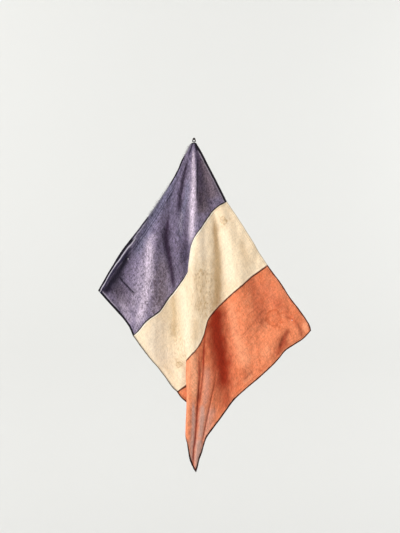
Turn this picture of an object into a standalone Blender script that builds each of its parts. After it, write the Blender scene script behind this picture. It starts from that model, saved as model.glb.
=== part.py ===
# A worn cotton flag of three panels, hung by one corner from a nail in a wall.
# Metres, +Z up. The cloth's front faces -Y, and the origin is where the nail meets the wall.
# A point of the hanging cloth is named by its drop below the nail and by its run, the length along the
# cloth's level cross-section, counted from the crest of the main ridge and positive to the right.

import math

import bmesh
import bpy
import numpy as np

MM = 0.001

# Cloth, in millimetres
CLOTH_THICKNESS = 1.2
HEM_THICKNESS = 2.2
EDGE_HEM = 8.0
FLY_HEM = 8.0
HOIST_SLEEVE = 30.0
SEAM_BAND = 6.0
BAND_STEP = 1.5
SEAM_GAP = 0.5

# Nail and the loop of edge cord over it, in millimetres
SHANK_RADIUS = 1.6
SHANK_LENGTH = 20.5
HEAD_RADIUS = 4.0
HEAD_THICKNESS = 1.6
HEAD_CROWN = 0.5
NAIL_SIDES = 24
LOOP_CORD = 3.0
LOOP_STAND_OFF = 15.2
LOOP_CLEARANCE = 0.3
LOOP_FOOT_DROP = 9.7
LOOP_HALF_WIDTH = 6.0

# Heights of the cross-sections, as drops below the nail in millimetres
DROPS = (0, 100, 200, 300, 400, 500, 600, 700, 800, 900, 1000, 1110)

# Ridges, valleys and creases from left to right. Each has its sideways place at every cross-section,
# and then its distance from the wall there.
FOLDS = {
    "hoist limit": (
        (-9, -64, -127, -192, -268, -335, -335, -335, -335, -335, -335, -335),
        (12, 11, 10, 12, 17, 22, 20, 18, 18, 18, 18, 18)),
    "hoist hem": (
        (-6, -57, -117, -180, -247, -292, -300, -300, -300, -300, -300, -300),
        (12, 12, 12, 17, 24, 31, 24, 20, 18, 18, 18, 18)),
    "hem hollow": (
        (-5, -51, -104, -160, -208, -222, -225, -228, -230, -230, -230, -230),
        (12, 9, 8, 8, 8, 9, 12, 14, 14, 14, 14, 14)),
    "lilac ridge": (
        (-4, -46, -90, -121, -136, -137, -139, -136, -132, -130, -130, -130),
        (12.5, 11, 13, 22, 32, 34, 33, 26, 18, 14, 14, 14)),
    "dark valley": (
        (-3, -41, -77, -91, -84, -70, -62, -57, -62, -66, -70, -70),
        (12.5, 9, 8, 8, 8, 10, 12, 13, 14, 14, 14, 14)),
    "small ridge": (
        (-2, -34, -58, -56, -50, -54, -49, -44, -44, -40, -40, -40),
        (13, 12, 15, 20, 22, 20, 20, 24, 20, 22, 24, 24)),
    "inner fold": (
        (-1, -26, -38, -23, -21, -31, -36, -27, 10, 17, 18, 12),
        (13, 10, 10, 12, 13, 30, 36, 44, 26, 32, 36, 42)),
    "ridge face": (
        (-0.5, 0, -1, -4, -14.5, -17, -21, -24, -25, -25, -25.5, -16),
        (13.5, 21, 33, 43, 47, 49, 52, 56, 53, 54, 53, 50)),
    "main ridge": (
        (0.5, 6, 7, 2, -9, -9, -12, -15, -18, -20, -22, -12),
        (14, 27, 40, 50, 56, 55, 58, 65, 68, 69, 65, 57)),
    "first crease": (
        (1, 13, 24, 33, 42, 41, 34, 31, 21, 8, 0, -5),
        (13.5, 23, 33, 42, 48, 49, 51, 54, 60, 61, 58, 54)),
    "second ridge": (
        (1.5, 20, 40, 54, 59, 54, 50, 50, 38, 25, 12, 3),
        (13, 19, 25, 34, 42, 44, 45, 50, 62, 67, 63, 56)),
    "second crease": (
        (2, 25, 48, 65, 72, 72, 73, 76, 65, 44, 24, 9),
        (13, 16, 19, 27, 34, 32, 29, 32, 52, 60, 57, 54)),
    "deep valley": (
        (2.5, 30, 56, 77, 86, 93, 99, 106, 112, 108, 60, 18),
        (12.5, 14, 15, 22, 26, 19, 14, 14, 30, 46, 54, 54)),
    "cream ridge": (
        (3, 42, 82, 108, 135, 142, 165, 165, 162, 150, 80, 24),
        (12.5, 16, 20, 33, 41, 40, 38, 36, 38, 46, 54, 54)),
    "side hollow": (
        (3.5, 50, 98, 145, 182, 218, 245, 204, 190, 170, 100, 30),
        (12, 13, 14, 20, 32, 22, 22, 32, 36, 46, 54, 54)),
    "side ridge": (
        (4, 57, 108, 170, 238, 250, 310, 240, 220, 190, 120, 36),
        (12, 12, 13, 15, 19, 27, 30, 36, 38, 46, 54, 54)),
    "fly limit": (
        (9, 66, 118, 182, 252, 320, 392, 345, 270, 220, 140, 42),
        (12, 11, 12, 13, 16, 17, 26, 28, 34, 46, 54, 54)),
}

# Edges and seams as (run, drop) points in millimetres, each from the nail's side to the far side
HOIST_EDGE = ((0, 10.5), (-9, 12), (-19, 20), (-28, 34), (-50, 68), (-67, 101), (-112, 168), (-162, 234),
    (-220, 301), (-249, 334), (-278, 367), (-299, 400), (-311, 431), (-321, 465), (-336, 502))
BLUE_SEAM = ((110, 207), (76, 227), (42, 263), (24, 291), (10, 316), (-4, 339), (-12, 360), (-15, 383),
    (-18, 407), (-24, 431), (-38, 448), (-47, 469), (-60, 492), (-94, 531), (-121, 570), (-166, 603),
    (-198, 639), (-214, 653))
RED_SEAM = ((264, 418), (220, 450), (171, 491), (117, 539), (79, 572), (58, 599), (51, 625), (45, 649),
    (35, 673), (23, 694), (10, 708), (-1, 719), (-35, 751), (-70, 783), (-105, 815), (-138, 838))
FLY_EDGE = ((417, 634), (392, 662), (364, 680), (338, 697), (307, 730), (272, 763), (234, 796), (194, 828),
    (158, 861), (133, 893), (110, 925), (86, 957), (67, 985), (59, 1006), (51, 1029), (37, 1057),
    (29, 1078), (21, 1095))
BLUE_TOP = ((0, 10.5), (7, 13), (10.5, 19), (18, 32), (29, 52), (45, 85), (80, 151), (110, 207))
CREAM_TOP = ((110, 207), (143, 251), (179, 301), (216, 352), (264, 418))
RED_TOP = ((264, 418), (303, 467), (351, 533), (378, 567), (402, 600), (414, 622), (417, 634))
BLUE_FOOT = ((-336, 502), (-292, 547), (-266, 575), (-244, 600), (-227, 624), (-214, 653))
CREAM_FOOT = ((-214, 653), (-194, 680), (-171, 715), (-163, 748), (-164, 782), (-157, 815), (-149, 828),
    (-138, 838))
RED_FOOT = ((-138, 838), (-128, 853), (-117, 864), (-100, 880), (-75, 910), (-45, 945), (-18, 972),
    (-2, 991), (2, 1017), (4, 1044), (8, 1066), (14, 1083), (21, 1095))

# Panels: their left, right, top and bottom lines, the widths of their left and right bands, and the
# number of spaces across between these
PANELS = {
    "blue_hoist_panel": (HOIST_EDGE, BLUE_SEAM, BLUE_TOP, BLUE_FOOT, HOIST_SLEEVE, SEAM_BAND, 12),
    "cream_middle_panel": (BLUE_SEAM, RED_SEAM, CREAM_TOP, CREAM_FOOT, SEAM_BAND, SEAM_BAND, 14),
    "red_fly_panel": (RED_SEAM, FLY_EDGE, RED_TOP, RED_FOOT, SEAM_BAND, FLY_HEM, 23),
}
ROWS = 50
PANEL_WIDTH = 250.0
PANEL_LENGTH = 600.0
SLOPE_STEP = 0.002

LINES = np.array([np.stack(pair, axis=1) for pair in FOLDS.values()], dtype=float)
SECTIONS = LINES.transpose(1, 0, 2)
SECTION_SLOPES = np.gradient(SECTIONS, DROPS, axis=0)
MAIN_RIDGE = list(FOLDS).index("main ridge")


def clear_scene():
    for old in list(bpy.data.objects):
        bpy.data.objects.remove(old, do_unlink=True)


def blend_between(start, end, start_slope, end_slope, share, length):
    square = share * share
    cube = square * share
    return ((2 * cube - 3 * square + 1) * start + (cube - 2 * square + share) * length * start_slope
            + (3 * square - 2 * cube) * end + (cube - square) * length * end_slope)


def folds_at(drops):
    # The fold lines' places (sideways, from the wall) at each drop
    knots = np.array(DROPS, dtype=float)
    index = np.clip(np.searchsorted(knots, drops, side="right") - 1, 0, len(knots) - 2)
    length = knots[index + 1] - knots[index]
    share = (drops - knots[index]) / length
    return blend_between(SECTIONS[index], SECTIONS[index + 1], SECTION_SLOPES[index],
                         SECTION_SLOPES[index + 1], share[:, None, None], length[:, None, None])


def cloth_points(runs, drops):
    # One smooth curve through the fold lines at each drop, followed to the given run
    lines = folds_at(drops)
    chords = np.linalg.norm(np.diff(lines, axis=1), axis=2)
    knots = np.cumsum(np.concatenate([np.zeros((len(runs), 1)), chords], axis=1), axis=1)
    knots -= knots[:, MAIN_RIDGE:MAIN_RIDGE + 1]
    rates = np.diff(lines, axis=1) / chords[:, :, None]
    before, after = chords[:, :-1, None], chords[:, 1:, None]
    slopes = np.empty_like(lines)
    slopes[:, 1:-1] = (after * rates[:, :-1] + before * rates[:, 1:]) / (before + after)
    slopes[:, 0] = rates[:, 0]
    slopes[:, -1] = rates[:, -1]
    row = np.arange(len(runs))
    index = np.clip((runs[:, None] >= knots).sum(axis=1) - 1, 0, knots.shape[1] - 2)
    length = (knots[row, index + 1] - knots[row, index])[:, None]
    share = (runs - knots[row, index])[:, None] / length
    place = blend_between(lines[row, index], lines[row, index + 1], slopes[row, index],
                          slopes[row, index + 1], share, length)
    return np.stack([place[:, 0], -place[:, 1], -drops], axis=1)


def along(points, shares):
    # A smooth curve through the points, read at shares of its length
    points = np.array(points, dtype=float)
    steps = np.linalg.norm(np.diff(points, axis=0), axis=1)
    knots = np.concatenate([[0.0], np.cumsum(steps)])
    slopes = np.gradient(points, knots, axis=0)
    places = np.clip(shares, 0, 1) * knots[-1]
    index = np.clip(np.searchsorted(knots, places, side="right") - 1, 0, len(knots) - 2)
    share = ((places - knots[index]) / steps[index])[:, None]
    return blend_between(points[index], points[index + 1], slopes[index], slopes[index + 1],
                         share, steps[index][:, None])


def panel_points(panel, across, down):
    # The panel's four border lines carried over its inside
    left, right, top, foot = panel[:4]
    a, d = across[:, None], down[:, None]
    corners = ((1 - a) * (1 - d) * np.array(left[0]) + a * (1 - d) * np.array(right[0])
               + (1 - a) * d * np.array(left[-1]) + a * d * np.array(right[-1]))
    flat = ((1 - a) * along(left, down) + a * along(right, down)
            + (1 - d) * along(top, across) + d * along(foot, across) - corners)
    return cloth_points(flat[:, 0], flat[:, 1])


def panel_normals(panel, across, down):
    near_a, far_a = np.maximum(across - SLOPE_STEP, 0), np.minimum(across + SLOPE_STEP, 1)
    near_d, far_d = np.maximum(down - SLOPE_STEP, 0), np.minimum(down + SLOPE_STEP, 1)
    side = panel_points(panel, far_a, down) - panel_points(panel, near_a, down)
    fall = panel_points(panel, across, far_d) - panel_points(panel, across, near_d)
    normal = np.cross(side, fall)
    return normal / np.linalg.norm(normal, axis=1)[:, None]


def divisions(length, first_band, last_band, spaces):
    # Shares of the length with a close pair of lines where each band steps down to the single cloth
    middle = np.linspace(first_band + BAND_STEP, length - last_band - BAND_STEP, spaces + 1)
    return np.concatenate([[0, first_band], middle, [length - last_band, length]]) / length


def add_material(thing, name, color, roughness, metallic=0.0):
    material = bpy.data.materials.new(name)
    material.use_nodes = True
    shader = material.node_tree.nodes["Principled BSDF"]
    shader.inputs["Base Color"].default_value = (*color, 1.0)
    shader.inputs["Roughness"].default_value = roughness
    shader.inputs["Metallic"].default_value = metallic
    thing.data.materials.append(material)


def add_object(name, mesh):
    thing = bpy.data.objects.new(name, mesh)
    bpy.context.scene.collection.objects.link(thing)
    return thing


def make_panel(name, panel, keep_left, keep_right):
    first_band, last_band, columns = panel[4:]
    across = divisions(PANEL_WIDTH, first_band, last_band, columns)
    down = divisions(PANEL_LENGTH, EDGE_HEM, EDGE_HEM, ROWS)
    if not keep_left:
        across[0] = SEAM_GAP / 2 / PANEL_WIDTH
    if not keep_right:
        across[-1] = 1 - SEAM_GAP / 2 / PANEL_WIDTH
    wide, long = len(across), len(down)
    grid_a, grid_d = (grid.ravel() for grid in np.meshgrid(across, down))
    column = np.tile(np.arange(wide), long)
    row = np.repeat(np.arange(long), wide)
    in_band = (column < 2) | (column > wide - 3) | (row < 2) | (row > long - 3)
    half = np.where(in_band, HEM_THICKNESS, CLOTH_THICKNESS)[:, None] / 2
    middle = panel_points(panel, grid_a, grid_d)
    normal = panel_normals(panel, grid_a, grid_d)
    front = (middle - normal * half) * MM
    back = (middle + normal * half) * MM
    model = bmesh.new()
    front_verts = [model.verts.new(point) for point in front]
    back_verts = [model.verts.new(point) for point in back]
    for r in range(long - 1):
        for c in range(wide - 1):
            a, b = r * wide + c, r * wide + c + 1
            d, e = a + wide, b + wide
            for one, two, three in ((a, d, b), (b, d, e)):
                model.faces.new((front_verts[one], front_verts[two], front_verts[three]))
                model.faces.new((back_verts[three], back_verts[two], back_verts[one]))
    top = list(range(wide))
    foot = [(long - 1) * wide + c for c in range(wide)]
    left = [r * wide for r in range(long)]
    right = [r * wide + wide - 1 for r in range(long)]
    for border in (top, foot, left, right):
        for here, there in zip(border, border[1:]):
            model.faces.new((front_verts[here], front_verts[there], back_verts[there]))
            model.faces.new((front_verts[here], back_verts[there], back_verts[here]))
    bmesh.ops.recalc_face_normals(model, faces=model.faces)
    mesh = bpy.data.meshes.new(name)
    model.to_mesh(mesh)
    model.free()
    mesh.shade_smooth()
    return add_object(name, mesh)


def make_corner_loop():
    # A closed eye of cord: round over the shank, straight legs down to a foot along the cloth's corner
    radius = LOOP_CORD / 2
    crown = SHANK_RADIUS + LOOP_CLEARANCE + radius
    points = []
    for step in range(7):
        angle = math.radians(30 * step)
        points.append((crown * math.cos(angle), crown * math.sin(angle)))
    foot = -LOOP_FOOT_DROP + radius
    points += [(-LOOP_HALF_WIDTH * 0.72, foot * 0.55), (-LOOP_HALF_WIDTH + radius * 0.4, foot * 0.86),
               (-LOOP_HALF_WIDTH + radius * 1.3, foot), (0, foot),
               (LOOP_HALF_WIDTH - radius * 1.3, foot), (LOOP_HALF_WIDTH - radius * 0.4, foot * 0.86),
               (LOOP_HALF_WIDTH * 0.72, foot * 0.55)]
    curve = bpy.data.curves.new("corner_loop", "CURVE")
    curve.dimensions = "3D"
    curve.bevel_depth = radius * MM
    curve.bevel_resolution = 2
    spline = curve.splines.new("POLY")
    spline.points.add(len(points) - 1)
    for point, (x, z) in zip(spline.points, points):
        point.co = (x * MM, -LOOP_STAND_OFF * MM, z * MM, 1)
    spline.use_cyclic_u = True
    return add_object("corner_loop", curve)


def make_nail():
    # The nail's outline from its flat end in the wall's face to the crown of its head, turned round Y
    head_back = SHANK_LENGTH
    rim = head_back + HEAD_THICKNESS - HEAD_CROWN
    outline = [(0, 0), (SHANK_RADIUS, 0), (SHANK_RADIUS, head_back), (HEAD_RADIUS, head_back + 0.2),
               (HEAD_RADIUS, rim), (HEAD_RADIUS * 0.7, rim + HEAD_CROWN * 0.7), (0, rim + HEAD_CROWN)]
    model = bmesh.new()
    verts = [model.verts.new((radius * MM, -depth * MM, 0)) for radius, depth in outline]
    edges = [model.edges.new(pair) for pair in zip(verts, verts[1:])]
    bmesh.ops.spin(model, geom=verts + edges, cent=(0, 0, 0), axis=(0, 1, 0), angle=math.tau,
                   steps=NAIL_SIDES, use_merge=True)
    bmesh.ops.remove_doubles(model, verts=model.verts, dist=1e-6)
    bmesh.ops.recalc_face_normals(model, faces=model.faces)
    mesh = bpy.data.meshes.new("nail")
    model.to_mesh(mesh)
    model.free()
    return add_object("nail", mesh)


clear_scene()
blue = make_panel("blue_hoist_panel", PANELS["blue_hoist_panel"], True, False)
add_material(blue, "faded blue cotton", (0.20, 0.17, 0.25), 0.95)
cream = make_panel("cream_middle_panel", PANELS["cream_middle_panel"], False, False)
add_material(cream, "yellowed cream cotton", (0.86, 0.72, 0.48), 0.95)
red = make_panel("red_fly_panel", PANELS["red_fly_panel"], False, True)
add_material(red, "faded red cotton", (0.72, 0.22, 0.11), 0.95)
loop = make_corner_loop()
add_material(loop, "dark edge cord", (0.05, 0.04, 0.06), 0.9)
nail = make_nail()
add_material(nail, "steel wire nail", (0.25, 0.24, 0.23), 0.45, 1.0)
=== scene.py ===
import math
import bpy
import numpy as np
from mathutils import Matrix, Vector, noise


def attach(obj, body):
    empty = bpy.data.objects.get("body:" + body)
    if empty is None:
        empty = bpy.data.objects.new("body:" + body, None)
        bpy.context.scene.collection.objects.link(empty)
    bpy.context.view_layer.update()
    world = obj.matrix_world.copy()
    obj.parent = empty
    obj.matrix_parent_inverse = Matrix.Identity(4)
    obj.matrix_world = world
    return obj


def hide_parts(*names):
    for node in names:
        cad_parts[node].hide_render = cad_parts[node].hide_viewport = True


# A worn cotton flag of three panels, hung by one corner from a nail.
# Sizes of the cloth are in millimetres and are turned to metres when a mesh is placed.
# A point of the cloth has a drop below the nail, and a run along its level cross-section,
# counted from the crest of the main ridge.

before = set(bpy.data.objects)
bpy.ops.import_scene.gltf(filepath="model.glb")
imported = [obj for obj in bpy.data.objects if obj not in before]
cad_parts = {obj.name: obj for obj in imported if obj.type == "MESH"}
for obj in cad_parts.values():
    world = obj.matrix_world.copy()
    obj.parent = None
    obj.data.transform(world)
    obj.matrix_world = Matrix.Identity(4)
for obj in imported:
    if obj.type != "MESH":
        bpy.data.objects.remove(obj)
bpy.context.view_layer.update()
mm = 0.001

# Places of the ridges, valleys and creases at each drop, and how far they stand from the wall
drops = (0, 100, 200, 300, 400, 500, 600, 700, 800, 900, 1000, 1110)
folds = {
    "hoist limit": (
        (-9, -64, -127, -192, -268, -335, -335, -335, -335, -335, -335, -335),
        (12, 11, 10, 12, 17, 22, 20, 18, 18, 18, 18, 18)),
    "hoist hem": (
        (-6, -57, -117, -180, -247, -292, -300, -300, -300, -300, -300, -300),
        (12, 12, 12, 17, 24, 31, 24, 20, 18, 18, 18, 18)),
    "hem hollow": (
        (-5, -51, -104, -160, -208, -222, -225, -228, -230, -230, -230, -230),
        (12, 9, 8, 8, 8, 9, 12, 14, 14, 14, 14, 14)),
    "lilac ridge": (
        (-4, -46, -90, -121, -136, -137, -139, -136, -132, -130, -130, -130),
        (12.5, 11, 13, 22, 32, 34, 33, 26, 18, 14, 14, 14)),
    "dark valley": (
        (-3, -41, -77, -91, -84, -70, -62, -57, -62, -66, -70, -70),
        (12.5, 9, 8, 8, 8, 10, 12, 13, 14, 14, 14, 14)),
    "small ridge": (
        (-2, -34, -58, -56, -50, -54, -49, -44, -44, -40, -40, -40),
        (13, 12, 15, 20, 22, 20, 20, 24, 20, 22, 24, 24)),
    "inner fold": (
        (-1, -26, -38, -23, -21, -31, -36, -27, 10, 17, 18, 12),
        (13, 10, 10, 12, 13, 30, 36, 44, 26, 32, 36, 42)),
    "ridge face": (
        (-0.5, 0, -1, -4, -14.5, -17, -21, -24, -25, -25, -25.5, -16),
        (13.5, 21, 33, 43, 47, 49, 52, 56, 53, 54, 53, 50)),
    "main ridge": (
        (0.5, 6, 7, 2, -9, -9, -12, -15, -18, -20, -22, -12),
        (14, 27, 40, 50, 56, 55, 58, 65, 68, 69, 65, 57)),
    "first crease": (
        (1, 13, 24, 33, 42, 41, 34, 31, 21, 8, 0, -5),
        (13.5, 23, 33, 42, 48, 49, 51, 54, 60, 61, 58, 54)),
    "second ridge": (
        (1.5, 20, 40, 54, 59, 54, 50, 50, 38, 25, 12, 3),
        (13, 19, 25, 34, 42, 44, 45, 50, 62, 67, 63, 56)),
    "second crease": (
        (2, 25, 48, 65, 72, 72, 73, 76, 65, 44, 24, 9),
        (13, 16, 19, 27, 34, 32, 29, 32, 52, 60, 57, 54)),
    "deep valley": (
        (2.5, 30, 56, 77, 86, 93, 99, 106, 112, 108, 60, 18),
        (12.5, 14, 15, 22, 26, 19, 14, 14, 30, 46, 54, 54)),
    "cream ridge": (
        (3, 42, 82, 108, 135, 142, 165, 165, 162, 150, 80, 24),
        (12.5, 16, 20, 33, 41, 40, 38, 36, 38, 46, 54, 54)),
    "side hollow": (
        (3.5, 50, 98, 145, 182, 218, 245, 204, 190, 170, 100, 30),
        (12, 13, 14, 20, 32, 22, 22, 32, 36, 46, 54, 54)),
    "side ridge": (
        (4, 57, 108, 170, 238, 250, 310, 240, 220, 190, 120, 36),
        (12, 12, 13, 15, 19, 27, 30, 36, 38, 46, 54, 54)),
    "fly limit": (
        (9, 66, 118, 182, 252, 320, 392, 345, 270, 220, 140, 42),
        (12, 11, 12, 13, 16, 17, 26, 28, 34, 46, 54, 54)),
}
foldNames = list(folds)
mainRidge = foldNames.index("main ridge")

# Edges and seams as (run, drop) points, each from the nail's side to the far side
hoistEdge = ((0, 10.5), (-9, 12), (-19, 20), (-28, 34), (-50, 68), (-67, 101), (-112, 168), (-162, 234),
    (-220, 301), (-249, 334), (-278, 367), (-299, 400), (-311, 431), (-321, 465), (-336, 502))
blueSeam = ((110, 207), (76, 227), (42, 263), (24, 291), (10, 316), (-4, 339), (-12, 360), (-15, 383),
    (-18, 407), (-24, 431), (-38, 448), (-47, 469), (-60, 492), (-94, 531), (-121, 570), (-166, 603),
    (-198, 639), (-214, 653))
redSeam = ((264, 418), (220, 450), (171, 491), (117, 539), (79, 572), (58, 599), (51, 625), (45, 649),
    (35, 673), (23, 694), (10, 708), (-1, 719), (-35, 751), (-70, 783), (-105, 815), (-138, 838))
flyEdge = ((417, 634), (392, 662), (364, 680), (338, 697), (307, 730), (272, 763), (234, 796), (194, 828),
    (158, 861), (133, 893), (110, 925), (86, 957), (67, 985), (59, 1006), (51, 1029), (37, 1057),
    (29, 1078), (21, 1095))
blueTop = ((0, 10.5), (7, 13), (10.5, 19), (18, 32), (29, 52), (45, 85), (80, 151), (110, 207))
creamTop = ((110, 207), (143, 251), (179, 301), (216, 352), (264, 418))
redTop = ((264, 418), (303, 467), (351, 533), (378, 567), (402, 600), (414, 622), (417, 634))
blueFoot = ((-336, 502), (-292, 547), (-266, 575), (-244, 600), (-227, 624), (-214, 653))
creamFoot = ((-214, 653), (-194, 680), (-171, 715), (-163, 748), (-164, 782), (-157, 815), (-149, 828),
    (-138, 838))
redFoot = ((-138, 838), (-128, 853), (-117, 864), (-100, 880), (-75, 910), (-45, 945), (-18, 972),
    (-2, 991), (2, 1017), (4, 1044), (8, 1066), (14, 1083), (21, 1095))

sections = np.array([np.stack(pair, axis=1) for pair in folds.values()], dtype=float).transpose(1, 0, 2)
sectionSlopes = np.gradient(sections, drops, axis=0)


def blendBetween(start, end, startSlope, endSlope, share, length):
    square = share * share
    cube = square * share
    return ((2 * cube - 3 * square + 1) * start + (cube - 2 * square + share) * length * startSlope
            + (3 * square - 2 * cube) * end + (cube - square) * length * endSlope)


def foldsAt(drop):
    knots = np.array(drops, dtype=float)
    index = np.clip(np.searchsorted(knots, drop, side="right") - 1, 0, len(knots) - 2)
    length = knots[index + 1] - knots[index]
    share = (drop - knots[index]) / length
    return blendBetween(sections[index], sections[index + 1], sectionSlopes[index],
                        sectionSlopes[index + 1], share[:, None, None], length[:, None, None])


def clothPoints(run, drop):
    # one smooth curve through the folds at each drop
    lines = foldsAt(drop)
    chords = np.linalg.norm(np.diff(lines, axis=1), axis=2)
    knots = np.cumsum(np.concatenate([np.zeros((len(run), 1)), chords], axis=1), axis=1)
    knots -= knots[:, mainRidge:mainRidge + 1]
    rates = np.diff(lines, axis=1) / chords[:, :, None]
    before, after = chords[:, :-1, None], chords[:, 1:, None]
    slopes = np.empty_like(lines)
    slopes[:, 1:-1] = (after * rates[:, :-1] + before * rates[:, 1:]) / (before + after)
    slopes[:, 0] = rates[:, 0]
    slopes[:, -1] = rates[:, -1]
    row = np.arange(len(run))
    index = np.clip((run[:, None] >= knots).sum(axis=1) - 1, 0, knots.shape[1] - 2)
    length = (knots[row, index + 1] - knots[row, index])[:, None]
    share = (run - knots[row, index])[:, None] / length
    place = blendBetween(lines[row, index], lines[row, index + 1], slopes[row, index],
                         slopes[row, index + 1], share, length)
    return np.stack([place[:, 0], -place[:, 1], -drop], axis=1)


def along(points, shares):
    # places on a border line at shares of its length
    points = np.array(points, dtype=float)
    steps = np.linalg.norm(np.diff(points, axis=0), axis=1)
    knots = np.concatenate([[0.0], np.cumsum(steps)])
    slopes = np.gradient(points, knots, axis=0)
    places = np.clip(shares, 0, 1) * knots[-1]
    index = np.clip(np.searchsorted(knots, places, side="right") - 1, 0, len(knots) - 2)
    share = ((places - knots[index]) / steps[index])[:, None]
    return blendBetween(points[index], points[index + 1], slopes[index], slopes[index + 1],
                        share, steps[index][:, None])


def panelPlaces(borders, across, down):
    # the four border lines carried over the panel's inside
    left, right, top, foot = borders
    a, d = across[:, None], down[:, None]
    corners = ((1 - a) * (1 - d) * np.array(left[0]) + a * (1 - d) * np.array(right[0])
               + (1 - a) * d * np.array(left[-1]) + a * d * np.array(right[-1]))
    flat = ((1 - a) * along(left, down) + a * along(right, down)
            + (1 - d) * along(top, across) + d * along(foot, across) - corners)
    return flat[:, 0], flat[:, 1]


def bell(distance, width):
    return np.exp(-(distance / width) ** 2)


def window(values, low, high, soft):
    rise = np.clip((values - low) / soft + 0.5, 0, 1)
    fall = np.clip((high - values) / soft + 0.5, 0, 1)
    return (rise * rise * (3 - 2 * rise)) * (fall * fall * (3 - 2 * fall))


# Small relief: soft noise and a few listed creases, in millimetres towards the viewer
relief = {
    "calmFrom": 20, "calmOver": 150,    # the cloth is tight near the nail
    "slopeStep": 1.5, "endSoft": 0.5,
    "noise": (  # size across, size down, height
        (16, 70, 1.5),
        (34, 150, 2.4),
        (9, 16, 0.45),
    ),
    "creases": (  # from (across, drop) to (across, drop), half width, height, side of the main ridge
        ((-250, 452), (-202, 510), 4, -3.5, -1),
        ((-258, 446), (-214, 500), 5, 3.0, -1),
        ((-290, 489), (-262, 430), 4, 3.0, -1),
        ((-146, 232), (-166, 330), 3, -1.5, -1),
        ((-60, 90), (-40, 240), 4, -2.5, -1),
        ((-22, 70), (-46, 210), 3.5, -3.0, -1),
        ((-100, 270), (-76, 460), 7, -4.0, -1),
        ((8, 690), (18, 880), 2.5, -3.0, 1),
        ((34, 660), (12, 880), 2.5, -3.0, 1),
        ((70, 790), (24, 1010), 3, -3.5, 1),
        ((12, 880), (-2, 1060), 3, -3.5, 1),
        ((296, 650), (284, 690), 7, -6.0, 1),
        ((240, 560), (330, 620), 10, 2.5, 1),
        ((330, 590), (352, 655), 8, 3.0, 1),
        ((205, 760), (235, 740), 8, 2.5, 1),
        ((150, 820), (200, 770), 7, -2.5, 1),
        ((60, 220), (75, 330), 8, -2.5, 1),
        ((20, 320), (24, 560), 9, 2.0, 1),
        ((-30, 480), (-28, 690), 6, 1.8, -1),
        ((-60, 560), (-52, 720), 5, -2.5, -1),
    ),
}


def smallRelief(run, drop, across):
    height = np.zeros(len(run))
    for sizeAcross, sizeDown, tall in relief["noise"]:
        height += tall * np.array([noise.noise((r / sizeAcross, d / sizeDown, tall))
                                   for r, d in zip(run, drop)])
    for (startX, startDrop), (endX, endDrop), wide, tall, side in relief["creases"]:
        reach = np.array((endX - startX, endDrop - startDrop), dtype=float)
        length = np.linalg.norm(reach)
        share = ((across - startX) * reach[0] + (drop - startDrop) * reach[1]) / length ** 2
        offset = ((across - startX) * reach[1] - (drop - startDrop) * reach[0]) / length
        ends = window(share, 0, 1, relief["endSoft"])
        height += tall * bell(offset, wide) * ends * (np.sign(run) == side)
    return height


def dressedCloth(run, drop):
    # the cloth with its small relief
    step = relief["slopeStep"]
    place = clothPoints(run, drop)
    side = clothPoints(run + step, drop) - clothPoints(run - step, drop)
    fall = clothPoints(run, drop + step) - clothPoints(run, np.maximum(drop - step, 0))
    inward = np.cross(side, fall)
    inward /= np.linalg.norm(inward, axis=1)[:, None]
    calm = np.clip((drop - relief["calmFrom"]) / relief["calmOver"], 0, 1)[:, None]
    return place - inward * smallRelief(run, drop, place[:, 0])[:, None] * calm


def hexColor(text):
    values = [int(text[i:i + 2], 16) / 255 for i in (1, 3, 5)]
    return tuple(v / 12.92 if v <= 0.04045 else ((v + 0.055) / 1.055) ** 2.4 for v in values) + (1.0,)


def newMaterial(name):
    material = bpy.data.materials.new(name)
    material.use_nodes = True
    material.node_tree.nodes.clear()
    return material, material.node_tree


def addNode(tree, kind, inputs, output=0, **settings):
    # adds one node with its settings and links, and gives one of its outputs
    node = tree.nodes.new("ShaderNode" + kind)
    for key, value in settings.items():
        setattr(node, key, value)
    for key, value in inputs.items():
        if isinstance(value, bpy.types.NodeSocket):
            tree.links.new(value, node.inputs[key])
        else:
            node.inputs[key].default_value = value
    return node.outputs[output] if len(node.outputs) else None


# Weave of the panels, in millimetres. A cloud is soft noise, on the cut cloth or in space: its sizes,
# detail, low and high value, and start. Real threads lie 0.6 mm apart. They are drawn 2 mm apart and the
# slubs 4.65 mm wide, to show at this size
weave = {
    "clouds": {
        "blotch": (True, (66.67, 90.91, 1000), 3.0, 0.35, 0.68, 3.1),
        "mottle": (True, (16.13, 20.83, 1000), 3.0, 0.32, 0.70, 7.7),
        "crinkle": (False, (4.348, 8.333, 9.524), 2.0, 0.30, 0.72, 2.9),
        "grain": (True, (4.762, 4.762, 1000), 2.0, 0.30, 0.70, 4.7),
        "weftSlub": (True, (35.71, 4.651, 1000), 2.0, 0.36, 0.68, 1.3),
        "warpSlub": (True, (4.651, 38.46, 1000), 2.0, 0.36, 0.68, 5.9),
        "speck": (True, (11.11, 11.11, 1000), 4.0, 0.46, 0.68, 8.3),
    },
    "threadGap": 2.0, "bump": 0.9, "ripple": 0.8, "soft": (0.9, 9.0),    # a band's rims and ends
    "stitch": 4.5, "stitchHalf": (0.4, 1.0), "stitchEnd": (0.14, 0.20),
}


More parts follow.
